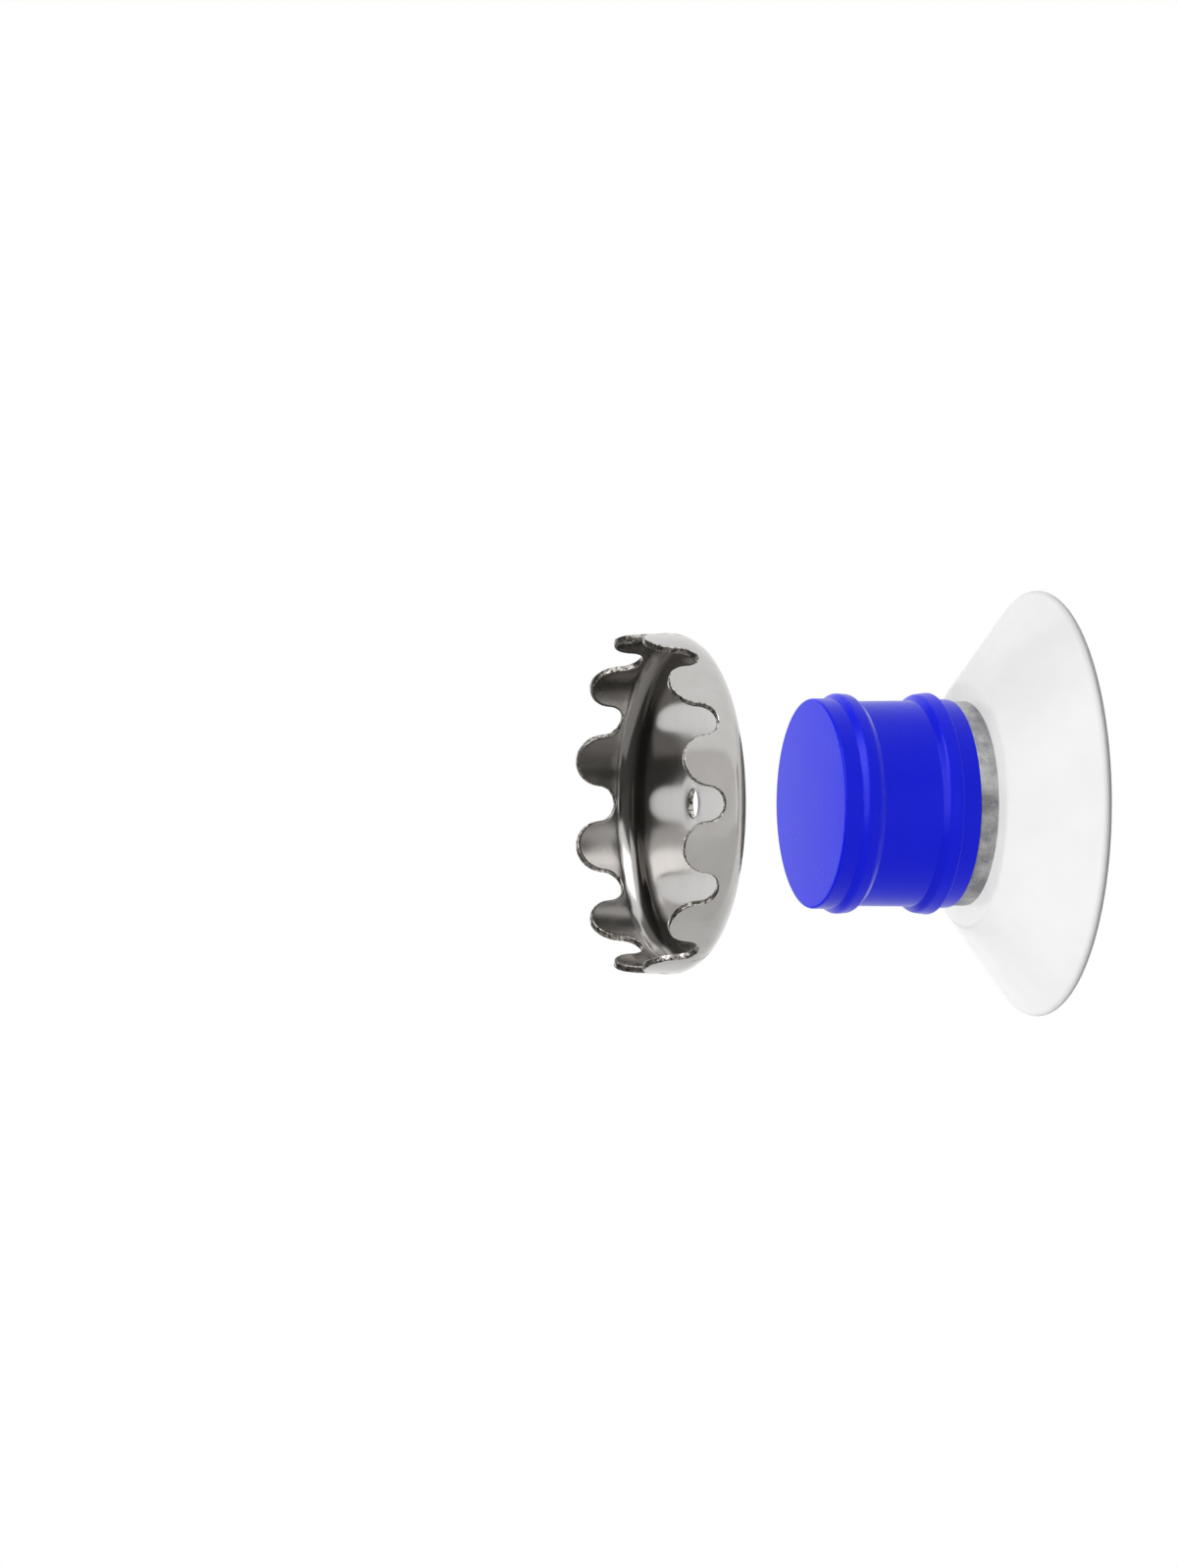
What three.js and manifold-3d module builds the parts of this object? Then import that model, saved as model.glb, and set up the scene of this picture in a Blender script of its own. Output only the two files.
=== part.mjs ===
// Magnetic wall holder. A suction cup sticks to the wall. A steel pot with a magnet in its front is
// screwed to the stud in the cup and wears a ribbed rubber cover. A toothed steel cap, whose teeth bite
// into what is to be held, hangs on the magnet. Here the cap is taken off and stands in front of the cover.
//
// Millimetres, +Z up. The wall is the plane y = 0 and every piece is round about the Y axis. "Out" is the
// distance from the wall, so a point at out = 10 lies at y = -10.

import * as THREE from "three";
import { mergeVertices } from "three/addons/utils/BufferGeometryUtils.js";
import Module from "manifold-3d";

// Fits
const seatGap = 0.3; // between two pieces that rest on each other
const threadGap = 0.15; // between the bolt and its threaded hole, on the radius
const overrun = 2; // how far a cutting solid passes the faces that it cuts

// Suction cup
const cupDiameter = 50; // across the lip
const cupHeight = 9.4; // from the wall to the shoulder
const cupCrown = 2.4; // from the top of the hollow to the shoulder
const shoulderDiameter = 29.2; // where the cone would meet the shoulder in a sharp corner
const shoulderEdge = 0.4; // rounding of that corner
const lipEdge = 0.5; // rounding of the lip
const lipLand = 0.7; // width of the flat ring that meets the wall
const cupFloor = 1.5; // between the hollow and the bolt's head
const bossWall = 1.6; // of the boss that enters the pot, around the corners of the bolt's head
const bossTop = 2; // of the boss, over the bolt's head
const bossEdge = 0.4; // chamfer

// Stud bolt, M4 x 8 with a hexagon head
const boltDiameter = 4;
const boltLength = 8; // under the head
const boltHeadAcross = 7; // across the flats
const boltHeadHeight = 2.8;
const boltTip = 0.5; // chamfer

// Magnet and the ring that centres it
const magnetDiameter = 16;
const magnetThickness = 5;
const magnetEdge = 0.3; // chamfer
const ringWall = 0.9;

// Magnet pot
const potWall = 1.4; // around the magnet's pocket
const potWeb = 2.2; // between the threaded hole and the pocket
const potEdge = 0.4; // chamfer
const threadRunout = 0.5; // of the threaded hole past the bolt's end
const collarHeight = 1.1; // of the rear collar over the pot's wall
const collarLength = 1.75;

// Cover. The heights of its lands and ribs are over the wall between the ribs.
const coverWall = 0.9; // between the ribs
const coverSkin = 0.8; // over the magnet
const coverEdge = 0.4; // rounding of the front
const coverRearEdge = 0.25; // rounding of the rear end
const frontLandHeight = 0.25;
const frontLandLength = 2.2; // from the front face to the first rib
const frontRibHeight = 0.85;
const frontRibWidth = 2.9;
const rearRibHeight = 0.95;
const rearRibWidth = 2.5;
const rearLandHeight = 0.2;
const rearLandLength = 2.2; // from the second rib to the rear end
const snapHeight = 0.8; // of the bead inside the cover, over the cover's bore
const snapWidth = 2.4;

// Crown cap
const capDiameter = 40;
const capHeight = 8.5; // from the base to the tips of the teeth
const capSheet = 0.8;
const capCorner = 3.7; // outer radius between the base and the wall
const capHoleDiameter = 3.4;
const capStandoff = 14; // from the cover to the cap, which is taken off
const toothCount = 12;
const toothDepth = 4.9;
const tipArcShare = 0.6; // the part of a flank's two radii that the tip takes, the root has the rest

// Facets around the axis
const cupSides = 60;
const coverSides = 48;
const potSides = 36;
const boltSides = 18;
const capSides = 72;

// Places along the axis, as distances out from the wall
const hollowDepth = cupHeight - cupCrown;
const boltRear = hollowDepth + cupFloor + seatGap;
const boltShoulder = boltRear + boltHeadHeight;
const boltFront = boltShoulder + boltLength;
const bossFront = boltShoulder + seatGap + bossTop;
const recessFloor = bossFront + seatGap;
const potRear = cupHeight + seatGap;
const boreEnd = boltFront + threadRunout;
const pocketFloor = boreEnd + potWeb;
const magnetRear = pocketFloor + seatGap;
const potFront = magnetRear + magnetThickness;
const collarFront = potRear + collarLength;
const coverRear = collarFront + seatGap;
const coverInside = potFront + seatGap;
const coverFront = coverInside + coverSkin;
const snapOut = coverRear + rearLandLength + rearRibWidth / 2; // under the middle of the second rib
const capRear = coverFront + capStandoff;
const capFront = capRear + capHeight;

// Radii that follow from a neighbour
const headRoom = (boltHeadAcross / 2 + seatGap) / Math.cos(Math.PI / 6);
const bossRadius = headRoom + bossWall;
const ringInside = magnetDiameter / 2 + seatGap;
const ringOutside = ringInside + ringWall;
const pocketRadius = ringOutside + seatGap;
const potRadius = pocketRadius + potWall;
const coverBore = potRadius + seatGap;
const barrelRadius = coverBore + coverWall;

const quarter = Math.PI / 2;
const wasm = await Module();
wasm.setup();

// Points [radius, out] on an arc about a centre, from one angle to another.
function arc(radius, out, bend, from, to, steps) {
  return Array.from({ length: steps + 1 }, (_, i) => {
    const angle = from + ((to - from) * i) / steps;
    return [radius + bend * Math.cos(angle), out + bend * Math.sin(angle)];
  });
}

// Points on the arc that starts at one point, passes a crest and ends at another point.
function arcOver(start, crest, end, steps) {
  const [ax, ay] = start;
  const [bx, by] = [crest[0] - ax, crest[1] - ay];
  const [cx, cy] = [end[0] - ax, end[1] - ay];
  const twist = 2 * (bx * cy - by * cx);
  const b2 = bx * bx + by * by;
  const c2 = cx * cx + cy * cy;
  const x = (cy * b2 - by * c2) / twist;
  const y = (bx * c2 - cx * b2) / twist;
  const from = Math.atan2(-y, -x);
  const sweep = Math.atan2(cy - y, cx - x) - from;
  const turn = Math.atan2(Math.sin(sweep), Math.cos(sweep));
  return arc(ax + x, ay + y, Math.hypot(x, y), from, from + turn, steps);
}

// Points that round the corner between two straight sides.
function roundCorner(before, corner, after, bend, steps) {
  const at = new THREE.Vector2(...corner);
  const back = new THREE.Vector2(...before).sub(at).normalize();
  const on = new THREE.Vector2(...after).sub(at).normalize();
  const half = Math.acos(back.dot(on)) / 2;
  const reach = bend / Math.tan(half);
  const middle = back.clone().add(on).setLength(bend / Math.sin(half) - bend);
  const start = back.multiplyScalar(reach).add(at);
  const end = on.multiplyScalar(reach).add(at);
  return arcOver(start.toArray(), middle.add(at).toArray(), end.toArray(), steps);
}

// The angle at which a straight line from a point touches a round edge.
function touchAngle(centre, bend, point) {
  const [dx, dy] = [point[0] - centre[0], point[1] - centre[1]];
  return Math.atan2(dy, dx) - Math.acos(bend / Math.hypot(dx, dy));
}

// A solid of revolution about the Y axis. The outline starts and ends on the axis, or closes on itself.
function revolve(outline, sides) {
  const points = outline.map(([radius, out]) => new THREE.Vector2(radius, -out));
  if (THREE.ShapeUtils.isClockWise(points)) points.reverse();
  return new THREE.LatheGeometry(points, sides);
}

// A closed geometry as a solid that can be joined and cut.
function toSolid(geometry) {
  const bare = geometry.clone();
  bare.deleteAttribute("normal");
  bare.deleteAttribute("uv");
  const merged = mergeVertices(bare);
  const mesh = new wasm.Mesh({
    numProp: 3,
    vertProperties: merged.attributes.position.array,
    triVerts: new Uint32Array(merged.index.array),
  });
  return new wasm.Manifold(mesh);
}

function toGeometry(solid) {
  const mesh = solid.getMesh();
  const geometry = new THREE.BufferGeometry();
  geometry.setAttribute("position", new THREE.BufferAttribute(mesh.vertProperties, mesh.numProp));
  geometry.setIndex(new THREE.BufferAttribute(mesh.triVerts, 1));
  geometry.computeVertexNormals();
  return geometry;
}

// The stud bolt, or the room for it when a clearance is given.
function boltSolid(clearance) {
  const corner = (boltHeadAcross / 2 + clearance) / Math.cos(Math.PI / 6);
  const height = boltHeadHeight + 2 * clearance;
  const head = new THREE.CylinderGeometry(corner, corner, height, 6);
  head.translate(0, -(boltRear + boltHeadHeight / 2), 0);
  const radius = boltDiameter / 2 + clearance;
  const end = boltFront + clearance;
  const shank = revolve(
    [
      [0, boltRear + boltHeadHeight / 2],
      [radius, boltRear + boltHeadHeight / 2],
      [radius, end - boltTip],
      [radius - boltTip, end],
      [0, end],
    ],
    boltSides,
  );
  return toSolid(head).add(toSolid(shank));
}

// Suction cup: a domed hollow behind a cone, a shoulder for the pot, and a boss with the bolt's head
// moulded in.
function suctionCup() {
  const lip = [cupDiameter / 2 - lipEdge, lipEdge];
  const hollowRadius = lip[0] - lipLand;
  const domeRadius = (hollowRadius ** 2 + hollowDepth ** 2) / (2 * hollowDepth);
  const domeEnd = Math.acos(hollowRadius / domeRadius);
  const shoulder = [shoulderDiameter / 2, cupHeight];
  const lipEnd = touchAngle(lip, lipEdge, shoulder);
  const lipRound = arc(...lip, lipEdge, -quarter, lipEnd, 4);
  const bossFoot = [bossRadius, cupHeight];
  const cup = revolve(
    [
      ...arc(0, hollowDepth - domeRadius, domeRadius, quarter, domeEnd, 7),
      ...lipRound,
      ...roundCorner(lipRound.at(-1), shoulder, bossFoot, shoulderEdge, 3),
      bossFoot,
      [bossRadius, bossFront - bossEdge],
      [bossRadius - bossEdge, bossFront],
      [0, bossFront],
    ],
    cupSides,
  );
  return toGeometry(toSolid(cup).subtract(boltSolid(seatGap)));
}

// Magnet pot: turned steel, with the magnet's pocket in front, the threaded hole and the boss's recess
// behind, a groove for the cover's bead and the collar that the cover stops against.
function magnetPot() {
  const collar = potRadius + collarHeight;
  const bore = boltDiameter / 2 + threadGap;
  const recess = bossRadius + seatGap;
  const grooveHalf = snapWidth / 2 + seatGap;
  const groove = arcOver(
    [potRadius, snapOut - grooveHalf],
    [potRadius - snapHeight, snapOut],
    [potRadius, snapOut + grooveHalf],
    5,
  );
  return revolve(
    [
      [0, boreEnd],
      [bore, boreEnd],
      [bore, recessFloor],
      [recess, recessFloor],
      [recess, potRear],
      [collar - potEdge, potRear],
      [collar, potRear + potEdge],
      [collar, collarFront],
      [potRadius, collarFront],
      ...groove,
      [potRadius, potFront - potEdge],
      [potRadius - potEdge, potFront],
      [pocketRadius, potFront],
      [pocketRadius, pocketFloor],
      [0, pocketFloor],
    ],
    potSides,
  );
}

function magnetDisc() {
  const radius = magnetDiameter / 2;
  return revolve(
    [
      [0, magnetRear],
      [radius - magnetEdge, magnetRear],
      [radius, magnetRear + magnetEdge],
      [radius, potFront - magnetEdge],
      [radius - magnetEdge, potFront],
      [0, potFront],
    ],
    potSides,
  );
}

function magnetRing() {
  return revolve(
    [
      [ringInside, magnetRear],
      [ringOutside, magnetRear],
      [ringOutside, potFront],
      [ringInside, potFront],
      [ringInside, magnetRear],
    ],
    potSides,
  );
}

// Cover: a rubber cup drawn over the pot. Two round ribs stand out of its wall, and a bead inside it snaps
// into the pot's groove.
function gripCover() {
  const frontLand = barrelRadius + frontLandHeight;
  const rearLand = barrelRadius + rearLandHeight;
  const frontRibStart = coverFront - frontLandLength;
  const rearRibEnd = coverRear + rearLandLength;
  const frontRib = arcOver(
    [frontLand, frontRibStart],
    [barrelRadius + frontRibHeight, frontRibStart - frontRibWidth / 2],
    [barrelRadius, frontRibStart - frontRibWidth],
    6,
  );
  const rearRib = arcOver(
    [barrelRadius, rearRibEnd + rearRibWidth],
    [barrelRadius + rearRibHeight, rearRibEnd + rearRibWidth / 2],
    [rearLand, rearRibEnd],
    6,
  );
  const bead = arcOver(
    [coverBore, snapOut - snapWidth / 2],
    [coverBore - snapHeight, snapOut],
    [coverBore, snapOut + snapWidth / 2],
    5,
  );
  const front = [frontLand, coverFront];
  const rear = [rearLand, coverRear];
  return revolve(
    [
      [0, coverFront],
      ...roundCorner([0, coverFront], front, frontRib[0], coverEdge, 3),
      ...frontRib,
      ...rearRib,
      ...roundCorner(rearRib.at(-1), rear, [coverBore, coverRear], coverRearEdge, 2),
      [coverBore, coverRear],
      ...bead,
      [coverBore, coverInside],
      [0, coverInside],
    ],
    coverSides,
  );
}

// The room between two teeth of the crown cap, as a solid that cuts it out of the wall. Its outline is
// drawn on the unrolled wall and then bent round the axis. Each flank is an arc of the tip and an arc of
// the root that meet on one tangent.
function toothGap() {
  const wall = capDiameter / 2;
  const halfPitch = (Math.PI * wall) / toothCount;
  const lean = 2 * Math.atan(toothDepth / halfPitch);
  const tip = (tipArcShare * halfPitch) / Math.sin(lean);
  const root = ((1 - tipArcShare) * halfPitch) / Math.sin(lean);
  const outline = new THREE.Shape();
  outline.moveTo(-halfPitch, overrun);
  outline.lineTo(-halfPitch, 0);
  outline.absarc(-halfPitch, -tip, tip, quarter, quarter - lean, true);
  outline.absarc(0, root - toothDepth, root, -quarter - lean, lean - quarter, false);
  outline.absarc(halfPitch, -tip, tip, quarter + lean, quarter, true);
  outline.lineTo(halfPitch, overrun);
  const depth = capSheet + 2 * overrun;
  const gap = new THREE.ExtrudeGeometry(outline, { depth, bevelEnabled: false, curveSegments: 6 });
  const place = gap.attributes.position;
  for (let i = 0; i < place.count; i += 1) {
    // x turns the other way round the axis, because out is -Y: that keeps the faces pointing out
    const angle = -place.getX(i) / wall;
    const radius = wall - capSheet - overrun + place.getZ(i);
    const out = capFront + place.getY(i);
    place.setXYZ(i, radius * Math.sin(angle), -out, radius * Math.cos(angle));
  }
  return gap;
}

// Crown cap: a drawn sheet cup with a pierced base and a scalloped wall.
function crownCap() {
  const wall = capDiameter / 2;
  const inside = wall - capSheet;
  const hole = capHoleDiameter / 2;
  const base = capRear + capSheet;
  const shell = revolve(
    [
      [hole, capRear],
      ...roundCorner([hole, capRear], [wall, capRear], [wall, capFront], capCorner, 6),
      [wall, capFront],
      [inside, capFront],
      ...roundCorner([inside, capFront], [inside, base], [hole, base], capCorner - capSheet, 5),
      [hole, base],
      [hole, capRear],
    ],
    capSides,
  );
  const gap = toothGap();
  let cap = toSolid(shell);
  for (let i = 0; i < toothCount; i += 1) {
    const turned = gap.clone().rotateY((i * 2 * Math.PI) / toothCount);
    cap = cap.subtract(toSolid(turned));
  }
  return toGeometry(cap);
}

const stainless = new THREE.MeshStandardMaterial({ color: 0xc9c7c4, roughness: 0.22, metalness: 1 });
const zincSteel = new THREE.MeshStandardMaterial({ color: 0x8f8e8c, roughness: 0.5, metalness: 1 });
const nickel = new THREE.MeshStandardMaterial({ color: 0xb9b6ae, roughness: 0.25, metalness: 1 });
const blackPlastic = new THREE.MeshStandardMaterial({ color: 0x26272a, roughness: 0.55, metalness: 0 });
const blueRubber = new THREE.MeshStandardMaterial({ color: 0x1a1fd0, roughness: 0.45, metalness: 0 });
const clearVinyl = new THREE.MeshStandardMaterial({
  color: 0xf0f0ee,
  roughness: 0.25,
  metalness: 0,
  transparent: true,
  opacity: 0.8,
});

const wallHolder = new THREE.Group();

function addPiece(name, geometry, material) {
  const piece = new THREE.Mesh(geometry, material);
  piece.name = name;
  wallHolder.add(piece);
}

addPiece("suction_cup", suctionCup(), clearVinyl);
addPiece("stud_bolt", toGeometry(boltSolid(0)), zincSteel);
addPiece("magnet_pot", magnetPot(), zincSteel);
addPiece("magnet_disc", magnetDisc(), nickel);
addPiece("magnet_ring", magnetRing(), blackPlastic);
addPiece("grip_cover", gripCover(), blueRubber);
addPiece("crown_cap", crownCap(), stainless);

export default wallHolder;
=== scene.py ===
import math

import bmesh
import bpy
from mathutils import Matrix, Vector


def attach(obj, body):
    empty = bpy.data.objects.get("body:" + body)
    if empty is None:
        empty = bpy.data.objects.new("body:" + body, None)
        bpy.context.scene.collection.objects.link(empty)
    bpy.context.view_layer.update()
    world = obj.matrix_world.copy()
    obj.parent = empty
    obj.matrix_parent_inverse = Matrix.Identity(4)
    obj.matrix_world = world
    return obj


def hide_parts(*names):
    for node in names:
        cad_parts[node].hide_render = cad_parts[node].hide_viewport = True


# Magnetic wall holder: a suction cup, a magnet in a steel pot under a ribbed rubber cover, and a toothed
# steel cap that is shown taken off. Sizes are in millimetres and are turned to metres when a mesh is made.
# Every piece is round about the Y axis. "Out" is the distance from the wall, towards -Y.

mm = 0.001
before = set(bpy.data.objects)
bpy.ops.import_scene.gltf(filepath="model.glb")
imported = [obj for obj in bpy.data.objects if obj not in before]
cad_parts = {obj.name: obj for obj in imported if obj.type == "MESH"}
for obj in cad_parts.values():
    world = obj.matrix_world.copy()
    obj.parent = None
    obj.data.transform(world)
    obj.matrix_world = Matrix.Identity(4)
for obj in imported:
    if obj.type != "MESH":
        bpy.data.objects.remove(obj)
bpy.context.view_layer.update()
print("frame loaded:", ", ".join(sorted(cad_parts)))


# helpers for colours and nodes

def linearColour(code):
    # sRGB hex to the linear colour that the shaders take
    channels = [int(code[i : i + 2], 16) / 255 for i in (1, 3, 5)]
    return [c / 12.92 if c <= 0.04045 else ((c + 0.055) / 1.055) ** 2.4 for c in channels] + [1]


def addNode(tree, kind, inputs=None, out=0, **settings):
    # adds a node, sets or links its inputs by name or number, and gives back one of its outputs
    node = tree.nodes.new("ShaderNode" + kind)
    for name, value in settings.items():
        setattr(node, name, value)
    for name, value in (inputs or {}).items():
        if isinstance(value, bpy.types.NodeSocket):
            tree.links.new(value, node.inputs[name])
        else:
            node.inputs[name].default_value = value
    return node.outputs[out] if node.outputs else node


def newMaterial(name):
    material = bpy.data.materials.new(name)
    material.use_nodes = True
    material.node_tree.nodes.clear()
    return material, material.node_tree, addNode(material.node_tree, "TexCoord", out="Object")


def axisPlace(tree, place):
    # how far a point lies from the axis, and its Y, both in metres
    flat = addNode(tree, "VectorMath", {0: place, 1: (1, 0, 1)}, operation="MULTIPLY")
    fromAxis = addNode(tree, "VectorMath", {0: flat}, out="Value", operation="LENGTH")
    return fromAxis, addNode(tree, "SeparateXYZ", {0: place}, out="Y")


# materials: colours are sRGB, a noise with a scale of 1000 / n has blobs about n millimetres across, a span is
# the two levels of a noise between which a colour or a roughness changes, and DeepMm is the depth of a bump

stainless = {
    "light": "#cdcbc9",
    "dark": "#b6b3b0",
    "hazeMm": 3.5,
    "hazeSpan": (0.2, 0.8),
    "roughness": (0.12, 0.18),
    "baseRoughness": 0.05,  # what the flat base adds, where the punch didn't burnish the sheet
    "baseRadiusMm": (6, 16),  # added in full up to the first, and nothing from the second on
    "scuffMm": 0.15,  # finer in fact, drawn as coarse as it needs to show
    "scuffDeepMm": 0.003,
    "waveMm": 4.0,
    "waveDeepMm": 0.03,
    "creaseShade": "#6e6a66",  # painted shade in the inner corner, standing in for the dark that the crease reflects
    "creaseShadeRadiusMm": (15.0, 16.4, 17.6, 19.0),  # starts, is full, is still full, has gone
    "creaseShadeOutMm": (43.3, 43.7),  # on the inner skin alone
}


def stainlessTumbled():
    # 18/0 stainless steel, drawn from sheet and tumbled with stones: a soft grey mirror with a fine grain and
    # a slow waviness where the punch stretched it
    s = stainless
    material, tree, place = newMaterial("stainlessTumbled")
    haze = addNode(tree, "TexNoise", {"Vector": place, "Scale": 1000 / s["hazeMm"], "Detail": 3.0})
    scuff = addNode(
        tree, "TexNoise", {"Vector": place, "Scale": 1000 / s["scuffMm"], "Detail": 4.0, "Roughness": 0.7}
    )
    wave = addNode(tree, "TexNoise", {"Vector": place, "Scale": 1000 / s["waveMm"], "Detail": 1.0})
    dark, light, creaseShade = (linearColour(s[name]) for name in ("dark", "light", "creaseShade"))
    colour = addNode(tree, "Mix", {0: haze, 6: dark, 7: light}, out=2, data_type="RGBA")
    (start, end), (low, high) = s["hazeSpan"], s["roughness"]
    patchy = addNode(tree, "MapRange", {0: haze, 1: start, 2: end, 3: low, 4: high})
    fromAxis, across = axisPlace(tree, place)
    start, end = s["baseRadiusMm"]
    duller = addNode(
        tree,
        "MapRange",
        {0: fromAxis, 1: start * mm, 2: end * mm, 3: s["baseRoughness"], 4: 0.0},
        interpolation_type="SMOOTHSTEP",
    )
    patchy = addNode(tree, "Math", {0: patchy, 1: duller}, operation="ADD")
    # painted shade: the colour darkens in the inner corner of the inner skin, where the crease should look
    # dark
    startIn, fullIn, fullOut, endOut = s["creaseShadeRadiusMm"]
    start, end = s["creaseShadeOutMm"]
    corner = addNode(tree, "MapRange", {0: across, 1: -start * mm, 2: -end * mm, 3: 0.0, 4: 1.0})
    for start, end in ((startIn, fullIn), (endOut, fullOut)):
        side = addNode(
            tree,
            "MapRange",
            {0: fromAxis, 1: start * mm, 2: end * mm, 3: 0.0, 4: 1.0},
            interpolation_type="SMOOTHSTEP",
        )
        corner = addNode(tree, "Math", {0: corner, 1: side}, operation="MULTIPLY")
    colour = addNode(tree, "Mix", {0: corner, 6: colour, 7: creaseShade}, out=2, data_type="RGBA")
    swell = addNode(tree, "Bump", {"Height": wave, "Distance": s["waveDeepMm"] * mm, "Strength": 0.3})
    grain = addNode(
        tree, "Bump", {"Height": scuff, "Distance": s["scuffDeepMm"] * mm, "Strength": 0.5, "Normal": swell}
    )
    shader = addNode(
        tree, "BsdfPrincipled", {"Base Color": colour, "Metallic": 1.0, "Roughness": patchy, "Normal": grain}
    )
    addNode(tree, "OutputMaterial", {"Surface": shader})
    return material


sheared = {
    "bright": "#e4e0da",
    "torn": "#4a4641",
    "grainMm": 0.45,  # torn patches are about half as wide as the sheet is thick
    "grainSpan": (0.4, 0.6),
    "grainDeepMm": 0.06,
    "roughness": (0.42, 0.2),  # torn, bright
}


def stainlessSheared():
    # the same sheet where the die sheared it: a bright burnished strip broken up by torn, dull metal
    s = sheared
    material, tree, place = newMaterial("stainlessSheared")
    torn = addNode(
        tree, "TexNoise", {"Vector": place, "Scale": 1000 / s["grainMm"], "Detail": 4.0, "Roughness": 0.7}
    )
    (start, end), (high, low) = s["grainSpan"], s["roughness"]
    share = addNode(tree, "MapRange", {0: torn, 1: start, 2: end, 3: 0.0, 4: 1.0})
    dull = addNode(tree, "MapRange", {0: torn, 1: start, 2: end, 3: high, 4: low})
    first, second = linearColour(s["torn"]), linearColour(s["bright"])
    colour = addNode(tree, "Mix", {0: share, 6: first, 7: second}, out=2, data_type="RGBA")
    ragged = addNode(tree, "Bump", {"Height": torn, "Distance": s["grainDeepMm"] * mm, "Strength": 0.6})
    shader = addNode(
        tree, "BsdfPrincipled", {"Base Color": colour, "Metallic": 1.0, "Roughness": dull, "Normal": ragged}
    )
    addNode(tree, "OutputMaterial", {"Surface": shader})
    return material


rubber = {
    "deep": "#000ed2",
    "light": "#0216dc",
    "cloudMm": 6.0,
    "cloudSpan": (0.1, 0.9),
    "roughness": (0.26, 0.3),
    "grainMm": 0.2,  # about 0.05 in fact, drawn coarser so that it shows
    "grainDeepMm": 0.004,
}


def rubberMoulded():
    # TPE rubber, injection moulded in a blasted mould: one deep blue all through, with a satin skin
    s = rubber
    material, tree, place = newMaterial("tpeRubberMoulded")
    cloud = addNode(tree, "TexNoise", {"Vector": place, "Scale": 1000 / s["cloudMm"], "Detail": 2.0})
    skin = addNode(tree, "TexNoise", {"Vector": place, "Scale": 1000 / s["grainMm"], "Detail": 2.0})
    deep, light = linearColour(s["deep"]), linearColour(s["light"])
    colour = addNode(tree, "Mix", {0: cloud, 6: deep, 7: light}, out=2, data_type="RGBA")
    (start, end), (low, high) = s["cloudSpan"], s["roughness"]
    satin = addNode(tree, "MapRange", {0: cloud, 1: start, 2: end, 3: low, 4: high})
    grain = addNode(tree, "Bump", {"Height": skin, "Distance": s["grainDeepMm"] * mm, "Strength": 0.4})
    shader = addNode(
        tree,
        "BsdfPrincipled",
        {"Base Color": colour, "Roughness": satin, "IOR": 1.45, "Specular IOR Level": 0.2, "Normal": grain},
    )
    addNode(tree, "OutputMaterial", {"Surface": shader})
    return material


vinyl = {
    "milky": "#e8e8eb",
    "clear": "#f5f5f5",
    "cloudMm": 6.0,
    "lipShade": "#6c6c70",  # painted shade on the lip's outer edge, standing in for the dark line that its edge refracts
    "lipShadeFromMm": (1.2, 24.2),  # above the wall, from the axis
    "lipShadeToMm": (0.15, 24.8),
    "waveMm": 5.0,
    "waveSpan": (0.1, 0.9),
    "waveDeepMm": 0.02,
    "roughness": (0.24, 0.28),
    "seepMm": 5,  # how far light spreads inside
}


def vinylMoulded():
    # plasticised PVC, moulded: milky right through, lets light seep, shines softly where it sank a little,
    # and carries painted shade, a grey, on the outer edge of its lip
    s = vinyl
    material, tree, place = newMaterial("softPvcMoulded")
    cloud = addNode(tree, "TexNoise", {"Vector": place, "Scale": 1000 / s["cloudMm"], "Detail": 2.0})
    wave = addNode(tree, "TexNoise", {"Vector": place, "Scale": 1000 / s["waveMm"], "Detail": 2.0})
    milky, clear, lipShade = (linearColour(s[name]) for name in ("milky", "clear", "lipShade"))
    colour = addNode(tree, "Mix", {0: cloud, 6: milky, 7: clear}, out=2, data_type="RGBA")
    fromAxis, across = axisPlace(tree, place)
    # painted shade: grey mixed in over the lip's outer edge, high on the wall and far from the axis
    (startOut, startRadius), (endOut, endRadius) = s["lipShadeFromMm"], s["lipShadeToMm"]
    low = addNode(
        tree,
        "MapRange",
        {0: across, 1: -startOut * mm, 2: -endOut * mm, 3: 0.0, 4: 1.0},
        interpolation_type="SMOOTHSTEP",
    )
    wide = addNode(
        tree,
        "MapRange",
        {0: fromAxis, 1: startRadius * mm, 2: endRadius * mm, 3: 0.0, 4: 1.0},
        interpolation_type="SMOOTHSTEP",
    )
    lipShadeMask = addNode(tree, "Math", {0: low, 1: wide}, operation="MULTIPLY")
    colour = addNode(tree, "Mix", {0: lipShadeMask, 6: colour, 7: lipShade}, out=2, data_type="RGBA")
    (start, end), (low, high) = s["waveSpan"], s["roughness"]
    gloss = addNode(tree, "MapRange", {0: wave, 1: start, 2: end, 3: low, 4: high})
    sunk = addNode(tree, "Bump", {"Height": wave, "Distance": s["waveDeepMm"] * mm, "Strength": 0.25})
    shader = addNode(
        tree,
        "BsdfPrincipled",
        {
            "Base Color": colour,
            "Roughness": gloss,
            "IOR": 1.53,
            "Transmission Weight": 0.12,
            "Subsurface Weight": 0.8,
            "Subsurface Radius": (1.0, 1.0, 1.0),
            "Subsurface Scale": s["seepMm"] * mm,
            "Normal": sunk,
        },
    )
    addNode(tree, "OutputMaterial", {"Surface": shader})
    return material


zinc = {
    "dark": "#808085",
    "light": "#bebebe",
    "patchMm": 2.6,
    "patchSpan": (0.35, 0.65),
    "speckle": "#dcdcda",
    "speckleShare": 0.4,
    "crystalMm": 0.2,  # finer in fact, drawn coarser so that it shows
    "crystalSpan": (0.5, 0.8),
    "crystalDeepMm": 0.02,
    "dullSpan": (0.3, 0.7),
    "roughness": (0.36, 0.5),
}


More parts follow.
